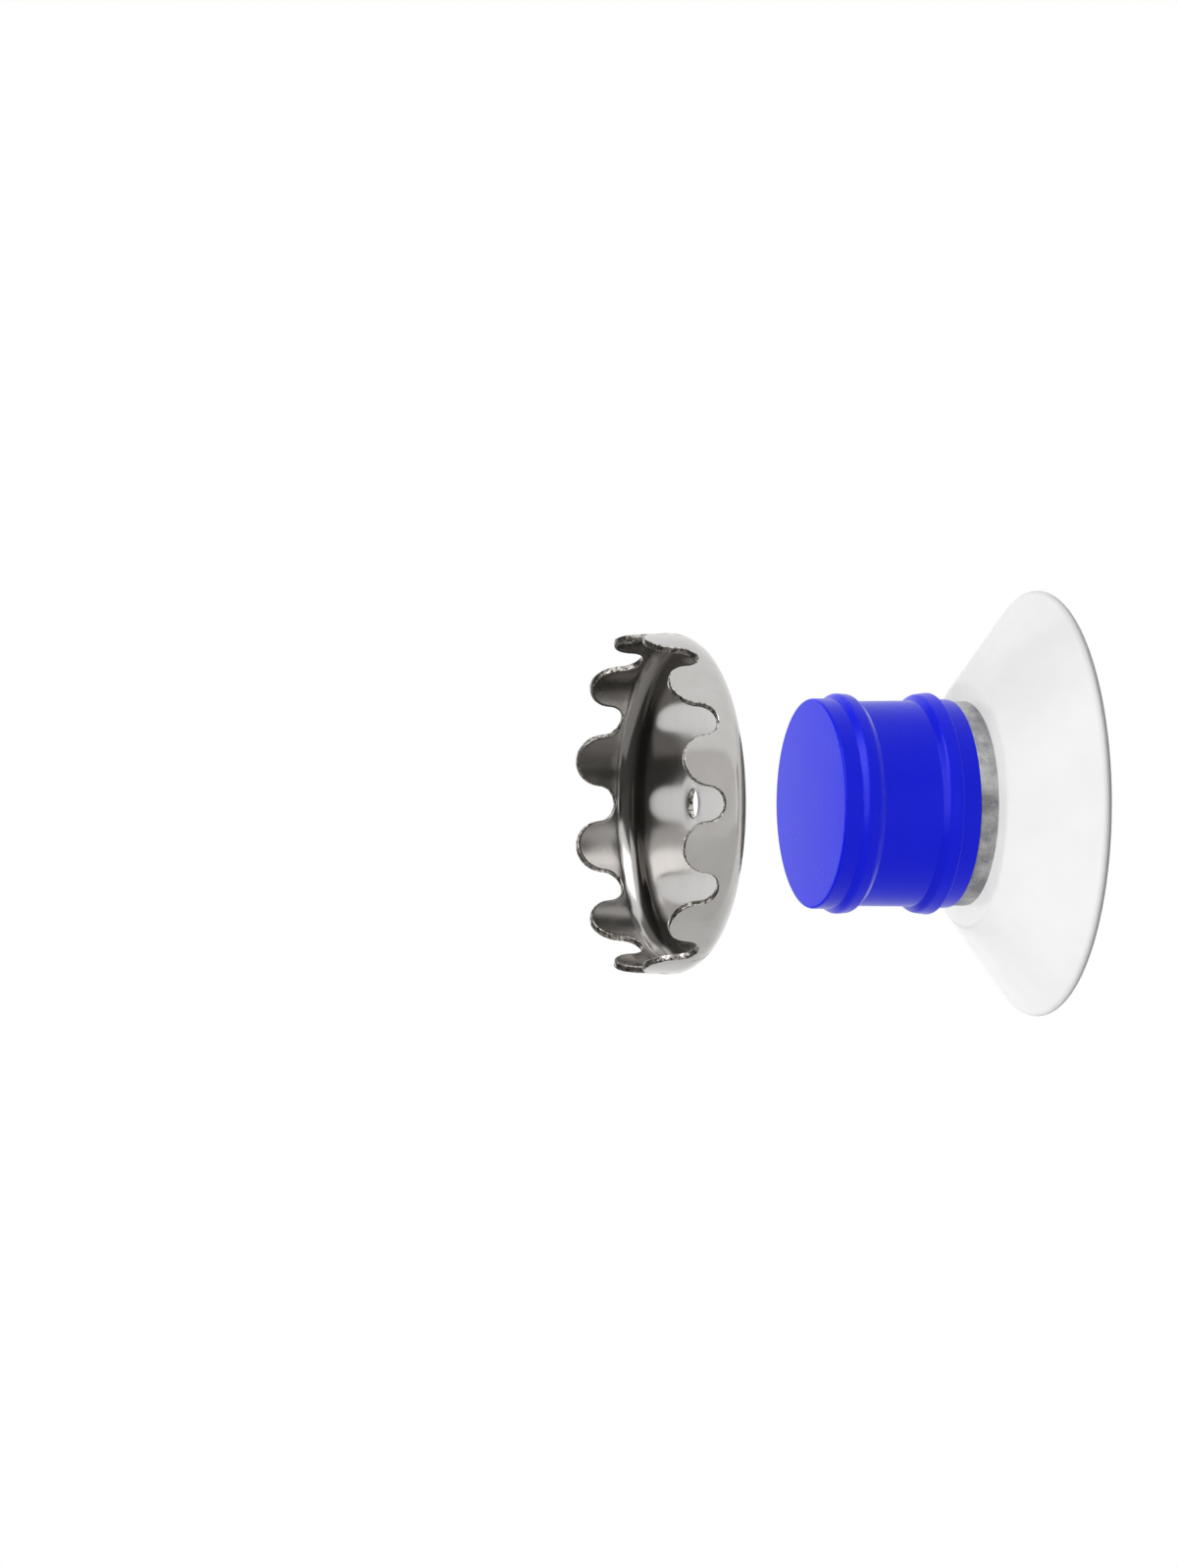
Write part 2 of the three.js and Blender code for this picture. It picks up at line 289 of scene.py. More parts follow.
def zincPlated():
    # turned steel with a dull zinc coat: matt grey, with darker fingered patches and a fine crystal speckle
    s = zinc
    material, tree, place = newMaterial("steelZincPlated")
    patch = addNode(
        tree, "TexNoise", {"Vector": place, "Scale": 1000 / s["patchMm"], "Detail": 3.0, "Roughness": 0.6}
    )
    crystal = addNode(
        tree, "TexNoise", {"Vector": place, "Scale": 1000 / s["crystalMm"], "Detail": 2.0, "Roughness": 0.7}
    )
    dark, light, speckle = (linearColour(s[name]) for name in ("dark", "light", "speckle"))
    start, end = s["patchSpan"]
    share = addNode(tree, "MapRange", {0: patch, 1: start, 2: end, 3: 0.0, 4: 1.0})
    coat = addNode(tree, "Mix", {0: share, 6: dark, 7: light}, out=2, data_type="RGBA")
    start, end = s["crystalSpan"]
    fleck = addNode(tree, "MapRange", {0: crystal, 1: start, 2: end, 3: 0.0, 4: s["speckleShare"]})
    colour = addNode(tree, "Mix", {0: fleck, 6: coat, 7: speckle}, out=2, data_type="RGBA")
    (start, end), (low, high) = s["dullSpan"], s["roughness"]
    dull = addNode(tree, "MapRange", {0: patch, 1: start, 2: end, 3: low, 4: high})
    rough = addNode(tree, "Bump", {"Height": crystal, "Distance": s["crystalDeepMm"] * mm, "Strength": 0.5})
    shader = addNode(
        tree, "BsdfPrincipled", {"Base Color": colour, "Metallic": 1.0, "Roughness": dull, "Normal": rough}
    )
    addNode(tree, "OutputMaterial", {"Surface": shader})
    return material


nickel = {
    "warm": "#b8b3a6",
    "cool": "#c9c5ba",
    "pitMm": 0.25,  # finer in fact, drawn coarser so that it shows
    "pitDeepMm": 0.006,
    "roughness": 0.2,
}


def nickelPlated():
    # sintered magnet under three coats of nickel: a warm bright mirror, faintly pitted like fine cast metal
    s = nickel
    material, tree, place = newMaterial("magnetNickelPlated")
    pits = addNode(
        tree, "TexNoise", {"Vector": place, "Scale": 1000 / s["pitMm"], "Detail": 3.0, "Roughness": 0.6}
    )
    warm, cool = linearColour(s["warm"]), linearColour(s["cool"])
    colour = addNode(tree, "Mix", {0: pits, 6: warm, 7: cool}, out=2, data_type="RGBA")
    grain = addNode(tree, "Bump", {"Height": pits, "Distance": s["pitDeepMm"] * mm, "Strength": 0.5})
    shader = addNode(
        tree,
        "BsdfPrincipled",
        {"Base Color": colour, "Metallic": 1.0, "Roughness": s["roughness"], "Normal": grain},
    )
    addNode(tree, "OutputMaterial", {"Surface": shader})
    return material


nylon = {
    "deep": "#1d1e20",
    "light": "#2b2c30",
    "grainMm": 0.2,  # finer in fact, drawn coarser so that it shows
    "grainDeepMm": 0.01,
    "roughness": 0.5,
}


def nylonMoulded():
    # black nylon, moulded: nearly black and dull, with the fine grain of the mould
    s = nylon
    material, tree, place = newMaterial("nylonMoulded")
    grit = addNode(tree, "TexNoise", {"Vector": place, "Scale": 1000 / s["grainMm"], "Detail": 2.0})
    deep, light = linearColour(s["deep"]), linearColour(s["light"])
    colour = addNode(tree, "Mix", {0: grit, 6: deep, 7: light}, out=2, data_type="RGBA")
    grain = addNode(tree, "Bump", {"Height": grit, "Distance": s["grainDeepMm"] * mm, "Strength": 0.5})
    shader = addNode(
        tree,
        "BsdfPrincipled",
        {"Base Color": colour, "Roughness": s["roughness"], "IOR": 1.53, "Normal": grain},
    )
    addNode(tree, "OutputMaterial", {"Surface": shader})
    return material


finishes = {
    "stainless": stainlessTumbled(),
    "sheared": stainlessSheared(),
    "rubber": rubberMoulded(),
    "vinyl": vinylMoulded(),
    "zinc": zincPlated(),
    "nickel": nickelPlated(),
    "nylon": nylonMoulded(),
}
print("materials made:", len(finishes))


# helpers for shapes

weldWithin = 1e-7  # metres
onAxis = 1e-6  # millimetres


def roundedLine(corners, stepDeg=9):
    # corners are (radius, out, rounding); a rounding of 0 stays sharp
    points = []
    for i, (radius, out, bend) in enumerate(corners):
        here = Vector((radius, out))
        if bend == 0 or i in (0, len(corners) - 1):
            points.append(here)
            continue
        back = (Vector(corners[i - 1][:2]) - here).normalized()
        on = (Vector(corners[i + 1][:2]) - here).normalized()
        half = back.angle(on) / 2
        middle = (back + on).normalized()
        centre = here + middle * (bend / math.sin(half))
        start = here + back * (bend / math.tan(half)) - centre
        turn = start.angle_signed(here + on * (bend / math.tan(half)) - centre)
        steps = max(2, math.ceil(abs(math.degrees(turn)) / stepDeg))
        for k in range(steps + 1):
            # angle_signed counts clockwise, so the turn back is its negative
            points.append(centre + Matrix.Rotation(-turn * k / steps, 2) @ start)
    return points


def crestArc(start, crest, end, steps=12):
    # points on the arc through a start, a crest and an end, both ends left out
    a, b, c = (Vector(p) for p in (start, crest, end))
    d = 2 * (a.x * (b.y - c.y) + b.x * (c.y - a.y) + c.x * (a.y - b.y))
    aa, bb, cc = a.dot(a), b.dot(b), c.dot(c)
    centre = Vector(
        (
            (aa * (b.y - c.y) + bb * (c.y - a.y) + cc * (a.y - b.y)) / d,
            (aa * (c.x - b.x) + bb * (a.x - c.x) + cc * (b.x - a.x)) / d,
        )
    )
    turn = (a - centre).angle_signed(c - centre)
    return [centre + Matrix.Rotation(-turn * k / steps, 2) @ (a - centre) for k in range(1, steps)]


def placed(radius, out, angle):
    # angle runs from the top towards the camera's side
    return Vector((radius * math.sin(angle), -out, radius * math.cos(angle))) * mm


def joinRings(bm, first, second):
    # faces between two rings of vertices, one of which may be a single vertex on the axis
    count = max(len(first), len(second))
    faces = []
    for k in range(count):
        n = (k + 1) % count
        if len(first) == 1:
            corners = first[0], second[k], second[n]
        elif len(second) == 1:
            corners = first[k], second[0], first[n]
        else:
            corners = first[k], second[k], second[n], first[n]
        faces.append(bm.faces.new(corners))
    return faces


def finishMesh(name, bm, materials, sharpDeg=40):
    bmesh.ops.remove_doubles(bm, verts=bm.verts, dist=weldWithin)
    bmesh.ops.recalc_face_normals(bm, faces=bm.faces)
    for face in bm.faces:
        face.smooth = True
    for edge in bm.edges:
        edge.smooth = len(edge.link_faces) != 2 or edge.calc_face_angle(0) < math.radians(sharpDeg)
    mesh = bpy.data.meshes.new(name)
    bm.to_mesh(mesh)
    bm.free()
    for material in materials:
        mesh.materials.append(material)
    piece = bpy.data.objects.new(name, mesh)
    bpy.context.scene.collection.objects.link(piece)
    return piece


def turned(name, points, material, sides, closed=False):
    # a turned body: a ring of vertices for each point of its outline, or one vertex on the axis
    bm = bmesh.new()
    rings = []
    for radius, out in points:
        count = 1 if radius < onAxis else sides
        rings.append([bm.verts.new(placed(radius, out, 2 * math.pi * k / sides)) for k in range(count)])
    for first, second in zip(rings, rings[1:] + (rings[:1] if closed else [])):
        joinRings(bm, first, second)
    return finishMesh(name, bm, [material])


def keep(piece, body, node):
    # the piece moves with its body, and stands in for its CAD node
    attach(piece, body)
    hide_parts(node)
    print("made", piece.name, "for", node)


# suction cup

cup = {
    "lipRadius": 25,
    "lipEdge": 0.5,
    "lipLand": 0.7,
    "shoulderRadius": 14.6,
    "shoulderOut": 9.4,
    "shoulderEdge": 1.0,
    "hollowDepth": 7,
    "bossRadius": 5.99,
    "bossOut": 13.9,
    "bossFoot": 0.4,  # chamfer between the shoulder and the boss
    "bossEdge": 0.4,
    "headRoom": 4.39,  # round, where the head is a hexagon
    "headBack": 8.5,
    "headFront": 11.9,
    "shankRoom": 2.3,
    "domeSteps": 39,
    "lipSteps": 8,
    "sides": 192,
}


def makeSuctionCup():
    c = cup
    hollow = c["lipRadius"] - c["lipEdge"] - c["lipLand"]
    dome = (hollow**2 + c["hollowDepth"] ** 2) / (2 * c["hollowDepth"])
    reach = math.asin(hollow / dome)
    points = []
    for k in range(c["domeSteps"] + 1):
        a = reach * k / c["domeSteps"]
        points.append(Vector((dome * math.sin(a), c["hollowDepth"] - dome * (1 - math.cos(a)))))
    # the lip: a flat land, a small round edge, then the cone up to the shoulder
    centre = Vector((c["lipRadius"] - c["lipEdge"], c["lipEdge"]))
    shoulder = Vector((c["shoulderRadius"], c["shoulderOut"]))
    away = shoulder - centre
    end = math.atan2(away.y, away.x) - math.acos(c["lipEdge"] / away.length)
    for k in range(c["lipSteps"] + 1):
        a = -math.pi / 2 + (end + math.pi / 2) * k / c["lipSteps"]
        points.append(centre + Vector((math.cos(a), math.sin(a))) * c["lipEdge"])
    points += roundedLine(
        [
            (*points[-1], 0),
            (*shoulder, c["shoulderEdge"]),
            (c["bossRadius"] + c["bossFoot"], c["shoulderOut"], 0),
            (c["bossRadius"], c["shoulderOut"] + c["bossFoot"], 0),
            (c["bossRadius"], c["bossOut"], c["bossEdge"]),
            (c["shankRoom"], c["bossOut"], 0),
            (c["shankRoom"], c["headFront"], 0),
            (c["headRoom"], c["headFront"], 0),
            (c["headRoom"], c["headBack"], 0),
            (0, c["headBack"], 0),
        ]
    )[1:]
    piece = turned("suctionCup", points, finishes["vinyl"], c["sides"])
    keep(piece, "wall_holder", "suction_cup")


# stud bolt with its thread

bolt = {
    "headAcross": 7,
    "headBack": 8.8,
    "headHeight": 2.8,
    "headChamfer": 0.35,
    "headFace": 0.86,  # the flat inside the chamfer, as a share of the width over the corners
    "radius": 2,
    "tipOut": 19.6,
    "tipChamfer": 0.5,
    "pitch": 0.7,
    "threadDepth": 0.61,  # share of the pitch
    "ringsPerTurn": 8,
    "sides": 36,  # a multiple of 12
    "sharpDeg": 25,
}


def makeStudBolt():
    b = bolt
    bm = bmesh.new()
    corner = b["headAcross"] / 2 / math.cos(math.pi / 6)
    back, front = b["headBack"], b["headBack"] + b["headHeight"]
    # hexagon with the turned chamfer on its rear face
    head = []
    for out, share in ((back, b["headFace"]), (back + b["headChamfer"], 1), (front, 1)):
        angles = [math.radians(60 * k + 90) for k in range(6)]
        head.append([bm.verts.new(placed(corner * share, out, angle)) for angle in angles])
    bm.faces.new(head[0])
    for first, second in zip(head, head[1:]):
        joinRings(bm, first, second)
    # thread: each ring follows the helix by the phase at its place
    depth, sides = b["threadDepth"] * b["pitch"], b["sides"]
    rows = int((b["tipOut"] - front) / (b["pitch"] / b["ringsPerTurn"]))
    thread = []
    for row in range(rows + 1):
        out = front + (b["tipOut"] - front) * row / rows
        ring = []
        for k in range(sides):
            phase = (out / b["pitch"] + k / sides) % 1
            radius = b["radius"] - depth * (1 - abs(2 * phase - 1))
            radius = min(radius, b["radius"] - b["tipChamfer"] + (b["tipOut"] - out))
            ring.append(bm.verts.new(placed(radius, out, 2 * math.pi * k / sides)))
        thread.append(ring)
    for first, second in zip(thread, thread[1:]):
        joinRings(bm, first, second)
    bm.faces.new(thread[-1])
    # front face of the head: each side of the hexagon meets its sixth of the thread's first ring
    perSide, quarter = sides // 6, sides // 4
    for k in range(6):
        arc = [thread[0][(perSide * (k + 1) + quarter - j) % sides] for j in range(perSide + 1)]
        bm.faces.new([head[-1][k], head[-1][(k + 1) % 6], *arc])
    piece = finishMesh("studBolt", bm, [finishes["zinc"]], b["sharpDeg"])
    keep(piece, "wall_holder", "stud_bolt")


# magnet pot, magnet and its ring

pot = {
    "rearOut": 9.45,  # seated on the cup's shoulder
    "rearEdge": 0.25,
    "collarRadius": 12,
    "collarOut": 11.7,
    "collarEdge": 0.12,
    "radius": 10.9,
    "frontOut": 27.6,
    "frontEdge": 0.35,
    "pocketRadius": 9.5,
    "pocketOut": 22.3,
    "pocketEdge": 0.15,
    "boreRadius": 2.15,
    "boreEnd": 20.1,
    "recessRadius": 6.29,
    "recessOut": 14.2,
    "grooveOut": 15.2,
    "grooveHalf": 1.5,
    "grooveDepth": 0.8,
    "sides": 144,
}


def makeMagnetPot():
    p = pot
    grooveRear = (p["radius"], p["grooveOut"] - p["grooveHalf"])
    grooveFront = (p["radius"], p["grooveOut"] + p["grooveHalf"])
    points = roundedLine(
        [
            (0, p["boreEnd"], 0),
            (p["boreRadius"], p["boreEnd"], 0),
            (p["boreRadius"], p["recessOut"], 0),
            (p["recessRadius"], p["recessOut"], 0),
            (p["recessRadius"], p["rearOut"], 0),
            (p["collarRadius"], p["rearOut"], p["rearEdge"]),
            (p["collarRadius"], p["collarOut"], p["collarEdge"]),
            (p["radius"], p["collarOut"], 0),
            (*grooveRear, 0),
        ]
    )
    points += crestArc(grooveRear, (p["radius"] - p["grooveDepth"], p["grooveOut"]), grooveFront)
    points += roundedLine(
        [
            (*grooveFront, 0),
            (p["radius"], p["frontOut"], p["frontEdge"]),
            (p["pocketRadius"], p["frontOut"], p["pocketEdge"]),
            (p["pocketRadius"], p["pocketOut"], 0),
            (0, p["pocketOut"], 0),
        ]
    )
    piece = turned("magnetPot", points, finishes["zinc"], p["sides"])
    piece.visible_diffuse = False  # keeps its shade off the cup behind it
    keep(piece, "wall_holder", "magnet_pot")


magnet = {"radius": 8, "rearOut": 22.6, "frontOut": 27.6, "edge": 0.3, "sides": 96}
ring = {"inside": 8.3, "outside": 9.2, "rearOut": 22.6, "frontOut": 27.6, "edge": 0.12, "sides": 96}


def makeMagnet():
    m = magnet
    corners = [(0, m["rearOut"], 0), (m["radius"], m["rearOut"], m["edge"])]
    corners += [(m["radius"], m["frontOut"], m["edge"]), (0, m["frontOut"], 0)]
    piece = turned("magnetDisc", roundedLine(corners), finishes["nickel"], m["sides"])
    keep(piece, "wall_holder", "magnet_disc")


def makeMagnetRing():
    r = ring
    middle = (r["rearOut"] + r["frontOut"]) / 2
    points = roundedLine(
        [
            (r["inside"], middle, 0),
            (r["inside"], r["rearOut"], r["edge"]),
            (r["outside"], r["rearOut"], r["edge"]),
            (r["outside"], r["frontOut"], r["edge"]),
            (r["inside"], r["frontOut"], r["edge"]),
            (r["inside"], middle, 0),
        ]
    )[:-1]
    piece = turned("magnetRing", points, finishes["nylon"], r["sides"], closed=True)
    keep(piece, "wall_holder", "magnet_ring")


# rubber cover

cover = {
    "frontOut": 28.7,
    "frontEdge": 0.3,
    "frontLand": 12.35,
    "ribOne": [(12.35, 26.5, 0.2), (12.95, 25.75, 0.7), (12.86, 24.35, 0.7), (12.02, 23.6, 0.3)],
    "ribTwo": [(12.09, 16.45, 0.2), (12.84, 15.8, 0.6), (13.05, 14.15, 0.3), (12.36, 13.95, 0.12)],
    "rearLand": 12.22,
    "rearOut": 11.72,  # seated on the pot's collar
    "rearEdge": 0.2,
    "bore": 11.2,
    "boreEdge": 0.1,
    "inside": 27.9,
    "insideEdge": 0.15,
    "beadOut": 15.2,
    "beadHalf": 1.2,
    "beadHeight": 0.8,
    "sides": 192,
}


def makeGripCover():
    c = cover
    beadRear = (c["bore"], c["beadOut"] - c["beadHalf"])
    beadFront = (c["bore"], c["beadOut"] + c["beadHalf"])
    points = roundedLine(
        [
            (0, c["frontOut"], 0),
            (c["frontLand"], c["frontOut"], c["frontEdge"]),
            *c["ribOne"],
            *c["ribTwo"],
            (c["rearLand"], c["rearOut"], c["rearEdge"]),
            (c["bore"], c["rearOut"], c["boreEdge"]),
            (*beadRear, 0),
        ]
    )
    points += crestArc(beadRear, (c["bore"] - c["beadHeight"], c["beadOut"]), beadFront)
    points += roundedLine(
        [(*beadFront, 0), (c["bore"], c["inside"], c["insideEdge"]), (0, c["inside"], 0)]
    )
    piece = turned("gripCover", points, finishes["rubber"], c["sides"])
    piece.visible_glossy = piece.visible_diffuse = False  # keeps its blue out of the steel and off the cup
    keep(piece, "wall_holder", "grip_cover")


# crown cap

crown = {
    "radius": 20,
    "sheet": 0.8,
    "baseOut": 42.7,
    "tipOut": 51.2,
    "corner": 3.7,
    "tighter": 0.5,  # how much tighter than the sheet alone the inner corner is
    "dish": 0.65,  # how far the inner face of the base sinks from that corner to the middle
    "dishShape": (4, 2),  # powers that make its middle flat and its rim run out smoothly
    "hole": 1.7,
    "teeth": 12,
    "toothDepth": 4.9,
    "tipArc": 0.6,  # share of a flank's two radii
    "edge": 0.14,  # rounding of the sheared edge
    "edgeDegs": (0, 30, 60, 90),
    "insets": (0.14, 0.4, 0.8),  # rows beside the teeth's edge, the first where its rounding ends
    "tipSteps": 12,
    "rootSteps": 9,
    "wallSteps": 12,
    "flatSteps": 9,
    "flatCrowding": 0.8,  # below 1 the rings of the base crowd towards the corner
}


def toothOutline():
    # one tooth from the middle of its tip to the middle of its gap, unrolled: place along the wall, height
    # below the tips, and the direction into the sheet
    c = crown
    halfPitch = math.pi * c["radius"] / c["teeth"]
    lean = 2 * math.atan(c["toothDepth"] / halfPitch)
    both = halfPitch / math.sin(lean)
    tip, root = both * c["tipArc"], both * (1 - c["tipArc"])
    points = []
    for k in range(c["tipSteps"] + 1):
        a = lean * k / c["tipSteps"]
        points.append((tip * math.sin(a), tip * (1 - math.cos(a)), -math.sin(a), math.cos(a)))
    for k in range(1, c["rootSteps"] + 1):
        a = lean * (1 - k / c["rootSteps"])
        x = halfPitch - root * math.sin(a)
        points.append((x, c["toothDepth"] - root * (1 - math.cos(a)), -math.sin(a), math.cos(a)))
    return halfPitch, points


def makeCrownCap():
    c = crown
    sheet, edge, hole = c["sheet"], c["edge"], c["hole"]
    halfPitch, half = toothOutline()
    # a whole tooth, from gap to gap: the left half mirrors the right one
    whole = [(-x, h, -nx, nh) for x, h, nx, nh in reversed(half)] + half[1:]
    count = len(whole) - 1
    columns = []  # the last number of each spreads the columns evenly, for the rows away from the teeth
    for tooth in range(c["teeth"]):
        middle = 2 * halfPitch * (tooth + 0.5)
        for i in range(count):
            x, h, nx, nh = whole[i]
            even = -halfPitch + 2 * halfPitch * i / count
            columns.append((middle + x, h, nx, nh, middle + even))
    bend = c["corner"] * math.pi / 2  # length of the outer corner
    top = bend + (c["tipOut"] - c["baseOut"] - c["corner"])  # up to the tips

    def sunk(radius):
        inner, outer = c["dishShape"]
        return c["dish"] * (1 - (radius / (c["radius"] - sheet)) ** inner) ** outer

    def sheetPoint(x, along, depth):
        # along is measured up the outer skin from the base's edge, depth is into the sheet
        angle, share = x / c["radius"], depth / sheet
        if along > bend:
            return placed(c["radius"] - depth, c["baseOut"] + c["corner"] + along - bend, angle)
        turn = along / c["corner"]
        reach = c["corner"] - depth - c["tighter"] * share
        radius = c["radius"] - c["corner"] + c["tighter"] * share + reach * math.sin(turn)
        out = c["baseOut"] + c["corner"] - reach * math.cos(turn) - sunk(radius) * share
        return placed(radius, out, angle)

    def edgeRow(depth, inset):
        return [sheetPoint(x + nx * inset, top - h - nh * inset, depth) for x, h, nx, nh, _ in columns]

    def skinRows(depth):
        # from the teeth's edge down the wall and round the corner
        made = [edgeRow(depth, inset) for inset in c["insets"]]
        last = c["insets"][-1]
        for step in range(1, c["wallSteps"] + 1):
            share = step / c["wallSteps"]
            row = []
            for x, h, nx, nh, even in columns:
                startX, startAlong = x + nx * last, top - h - nh * last
                row.append(sheetPoint(startX + (even - startX) * share, startAlong * (1 - share), depth))
            made.append(row)
        return made

    def flatRadius(k, flat):
        return hole + edge + (flat - hole - edge) * (k / c["flatSteps"]) ** c["flatCrowding"]

    def flatRow(radius, out):
        return [placed(radius, out, even / c["radius"]) for _, _, _, _, even in columns]

    # rows of vertices: up the outer skin, over the sheared edge and down the inner skin
    rounding = [math.radians(d) for d in c["edgeDegs"]]
    rows = skinRows(0)[::-1]
    firstRim = len(rows) - 1
    rim = [(edge * (1 - math.cos(a)), edge * (1 - math.sin(a))) for a in rounding[1:]]
    rim += [(sheet / 2, 0)] + [(sheet - depth, inset) for depth, inset in reversed(rim)]
    rows += [edgeRow(depth, inset) for depth, inset in rim]
    lastRim = len(rows)
    rows += skinRows(sheet)
    # the flat base, from the corner in to the pierced hole and back out on the outer side
    flat = c["radius"] - c["corner"]
    inside = c["baseOut"] + sheet + c["tighter"]
    for k in reversed(range(c["flatSteps"])):
        radius = flatRadius(k, flat + c["tighter"])
        rows.append(flatRow(radius, inside - sunk(radius)))
    firstHole = len(rows) - 1
    for a in rounding[1:]:
        out = inside - sunk(hole) - edge * (1 - math.cos(a))
        rows.append(flatRow(hole + edge * (1 - math.sin(a)), out))
    for a in reversed(rounding):
        rows.append(flatRow(hole + edge * (1 - math.sin(a)), c["baseOut"] + edge * (1 - math.cos(a))))
    lastHole = len(rows) - 1
    rows += [flatRow(flatRadius(k, flat), c["baseOut"]) for k in range(1, c["flatSteps"])]

    bm = bmesh.new()
    made = [[bm.verts.new(p) for p in row] for row in rows]
    for r, (first, second) in enumerate(zip(made, made[1:] + made[:1])):
        cut = firstRim <= r < lastRim or firstHole <= r < lastHole
        for face in joinRings(bm, first, second):
            face.material_index = 1 if cut else 0
    piece = finishMesh("crownCap", bm, [finishes["stainless"], finishes["sheared"]])
    keep(piece, "crown", "crown_cap")


makeSuctionCup()
makeStudBolt()
makeMagnetPot()
makeMagnet()
makeMagnetRing()
makeGripCover()
makeCrownCap()


# studio, in metres

studio = {
    "middle": (0, -0.03, 0),  # of the holder
    "floorBelow": 0.13,  # below the axis, so that the holder hangs over it
    "floorRadius": 0.95,
    "floorRings": (0.25, 0.6, 0.85, 1.0),
    "floorSides": 64,
    "fadeFrom": 0.08,
    "fadeTo": 0.36,
    "floorColours": ("#f2f2f1", "#eeeeed"),
    "floorSpotMm": 3.0,
    "feltSpotMm": 1.0,
    "mattRoughness": 0.9,
    "worldStrength": 0.8,
    "lamps": {
        # place, width and height, brightness next to white paper. Some show only in gloss, some light only
        # matt surfaces, and some are for one piece and shine past the pieces in front of it, so that each
        # is lit as if it stood alone
        "keySoftbox": {"at": (0.63, -0.6, 0.85), "size": (0.82, 0.66), "bright": 1.45, "matt": False},
        "topPanel": {"at": (-0.2, 0.2, 1.0), "size": (0.9, 0.9), "bright": 0.35, "gloss": False},
        "fillPanel": {"at": (1.3, 0.1, 0.0), "size": (0.8, 0.8), "bright": 0.5, "gloss": False},
        "coverSoftbox": {
            "at": (0.19, -0.38, 0.17),
            "size": (0.2, 0.62),
            "bright": 5.0,
            "matt": False,
            "only": "gripCover",
            "past": ["crownCap"],
        },
        "coverPanel": {
            "at": (-0.1, -1.2, 0.1),
            "size": (0.8, 0.8),
            "bright": 6.0,
            "gloss": False,
            "only": "gripCover",
            "past": ["crownCap"],
        },
        "cupPanel": {
            "at": (0.3, -1.2, -0.3),
            "size": (0.8, 0.8),
            "bright": 3.6,
            "gloss": False,
            "only": "suctionCup",
            "past": ["crownCap", "gripCover", "magnetPot", "floor"],
        },
    },
    "flags": [
        # cards that only gloss sees: name, low corner, high corner, two felt colours
        ("frontFlag", (-0.8, -0.5, -0.1), (0.2, -0.5, 0.13), ("#3d3b38", "#454340")),
        ("greyFlag", (0.2, -0.5, -0.1), (1.4, -0.5, 0.25), ("#4e4c49", "#575552")),
        ("frontCard", (-0.08, -0.49, -0.06), (0.06, -0.49, 0.07), ("#666461", "#706e6a")),
        ("cornerFlag", (-0.44, -0.3, -0.1), (-0.02, -0.3, 0.3), ("#3d3b38", "#454340")),
        ("upperCard", (-0.44, -0.3, 0.3), (-0.05, -0.3, 0.85), ("#838280", "#8d8c8a")),
        ("endFlag", (1.3, -0.6, -0.1), (1.3, -0.2, 0.3), ("#0d0c0b", "#12100f")),
        ("floorFlag", (-0.1, -0.5, -0.1), (1.3, -0.047, -0.1), ("#454340", "#4c4a47")),
        ("leftSheet", (-0.8, -0.5, -0.1), (-0.1, -0.047, -0.1), ("#8d8b88", "#969491")),
        ("floorCard", (-0.1, -0.16, -0.095), (0.13, -0.047, -0.095), ("#9a9896", "#a4a2a0")),
        ("backCard", (-0.26, 0.4, -0.1), (0.12, 0.4, 0.12), ("#b3b2b0", "#bdbcba")),
        ("sideCard", (0.3, -0.02, -0.12), (0.3, 0.6, 0.22), ("#efeeed", "#f3f2f1")),
        ("sideSheet", (0.02, -0.04, -0.12), (0.3, 0.6, -0.12), ("#e4e3e2", "#e9e8e7")),
    ],
}


def noisyPaper(name, shades, spotMm, gloss):
    # matt paper or felt, a little uneven
    material, tree, place = newMaterial(name)
    first, second = (linearColour(shade) for shade in shades)
    spots = addNode(tree, "TexNoise", {"Vector": place, "Scale": 1000 / spotMm, "Detail": 3.0})
    colour = addNode(tree, "Mix", {0: spots, 6: first, 7: second}, out=2, data_type="RGBA")
    shader = addNode(
        tree,
        "BsdfPrincipled",
        {"Base Color": colour, "Roughness": studio["mattRoughness"], "Specular IOR Level": gloss},
    )
    return material, tree, place, shader


def makeFloor():
    s = studio
    bm = bmesh.new()
    rings = [[bm.verts.new((0, 0, 0))]]
    for share in s["floorRings"]:
        radius, sides = s["floorRadius"] * share, s["floorSides"]
        angles = [2 * math.pi * k / sides for k in range(sides)]
        rings.append([bm.verts.new((radius * math.cos(a), radius * math.sin(a), 0)) for a in angles])
    for first, second in zip(rings, rings[1:]):
        joinRings(bm, first, second)
    material, tree, place, shader = noisyPaper("paperSweep", s["floorColours"], s["floorSpotMm"], 0.5)
    # the paper fades into the white room towards its rim
    white = addNode(tree, "Emission", {"Color": (1, 1, 1, 1), "Strength": 1.0})
    apart = addNode(tree, "VectorMath", {0: place}, out="Value", operation="LENGTH")
    fade = addNode(tree, "MapRange", {0: apart, 1: s["fadeFrom"], 2: s["fadeTo"], 3: 0.0, 4: 1.0})
    mixed = addNode(tree, "MixShader", {0: fade, 1: shader, 2: white})
    addNode(tree, "OutputMaterial", {"Surface": mixed})
    floor = finishMesh("floor", bm, [material])
    floor.location = Vector(s["middle"]) - Vector((0, 0, s["floorBelow"]))


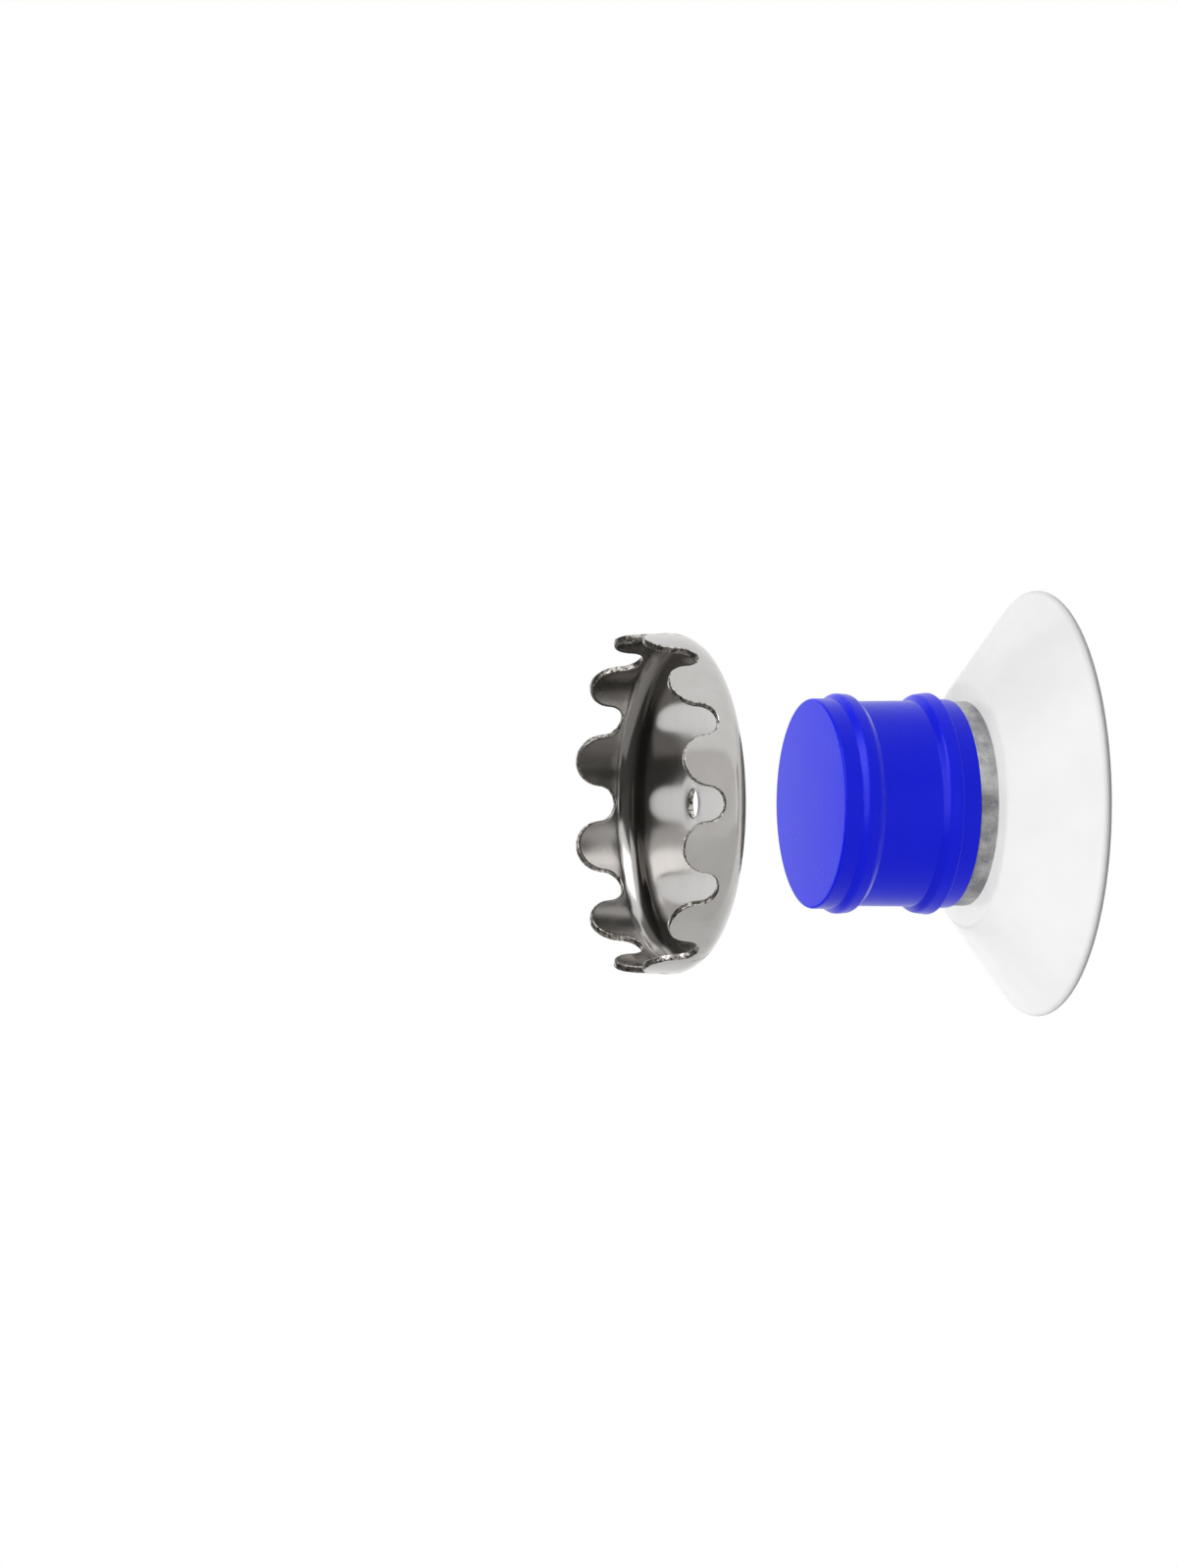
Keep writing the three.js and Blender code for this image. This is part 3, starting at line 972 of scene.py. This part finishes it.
def makeFlags():
    for name, low, high, shades in studio["flags"]:
        material, tree, _, shader = noisyPaper(name + "Felt", shades, studio["feltSpotMm"], 0.0)
        addNode(tree, "OutputMaterial", {"Surface": shader})
        low, high = Vector(low), Vector(high)
        turn = Vector((0, high.y - low.y, 0)) if low.y != high.y else Vector((high.x - low.x, 0, 0))
        bm = bmesh.new()
        bm.faces.new([bm.verts.new(p) for p in (low, low + turn, high, high - turn)])
        flag = finishMesh(name, bm, [material])
        flag.visible_camera = flag.visible_diffuse = flag.visible_shadow = False


def makeWorld():
    # white wherever the camera, gloss or glass sees it, and a softer light on matt surfaces
    world = bpy.data.worlds.new("whiteRoom")
    bpy.context.scene.world = world
    world.use_nodes = True
    tree = world.node_tree
    tree.nodes.clear()
    rays = addNode(tree, "LightPath").node.outputs
    seen = addNode(tree, "Math", {0: rays["Is Camera Ray"], 1: rays["Is Glossy Ray"]}, operation="MAXIMUM")
    seen = addNode(tree, "Math", {0: seen, 1: rays["Is Transmission Ray"]}, operation="MAXIMUM")
    soft = addNode(tree, "Background", {"Color": (1, 1, 1, 1), "Strength": studio["worldStrength"]})
    white = addNode(tree, "Background", {"Color": (1, 1, 1, 1), "Strength": 1.0})
    mixed = addNode(tree, "MixShader", {0: seen, 1: soft, 2: white})
    addNode(tree, "OutputWorld", {"Surface": mixed})


def gathered(name, pieces):
    # a collection that only the lamps use
    group = bpy.data.collections.new(name)
    for piece in pieces:
        group.objects.link(piece)
    return group


def makeLamps():
    aim = Vector(studio["middle"])
    for name, values in studio["lamps"].items():
        light = bpy.data.lights.new(name, "AREA")
        light.shape = "RECTANGLE"
        light.size, light.size_y = values["size"]
        light.energy = values["bright"] * math.pi * light.size * light.size_y
        lamp = bpy.data.objects.new(name, light)
        lamp.location = values["at"]
        lamp.rotation_euler = (aim - Vector(values["at"])).to_track_quat("-Z", "Y").to_euler()
        lamp.visible_camera = lamp.visible_transmission = False
        lamp.visible_glossy, lamp.visible_diffuse = values.get("gloss", True), values.get("matt", True)
        if "only" in values:
            meshes = [o for o in bpy.context.scene.objects if o.type == "MESH"]
            lit = [o for o in meshes if o.name == values["only"]]
            shading = [o for o in meshes if o.name not in values["past"]]
            lamp.light_linking.receiver_collection = gathered(name + "Lights", lit)
            lamp.light_linking.blocker_collection = gathered(name + "Shading", shading)
        bpy.context.scene.collection.objects.link(lamp)


camera = {
    "target": (0, -0.0563, 0.0023),
    "azimuthDeg": 70.8,
    "distance": 6.0,
    "lens": 1176,
    "clip": (0.1, 30),
}


def makeCamera():
    c = camera
    data = bpy.data.cameras.new("camera")
    data.lens = c["lens"]
    data.clip_start, data.clip_end = c["clip"]
    shot = bpy.data.objects.new("camera", data)
    a = math.radians(c["azimuthDeg"])
    target = Vector(c["target"])
    shot.location = target + Vector((math.sin(a), -math.cos(a), 0)) * c["distance"]
    shot.rotation_euler = (target - shot.location).to_track_quat("-Z", "Y").to_euler()
    bpy.context.scene.collection.objects.link(shot)
    bpy.context.scene.camera = shot


makeFloor()
makeFlags()
makeWorld()
makeLamps()
makeCamera()
bpy.context.scene.view_settings.view_transform = "Standard"
print("studio made")
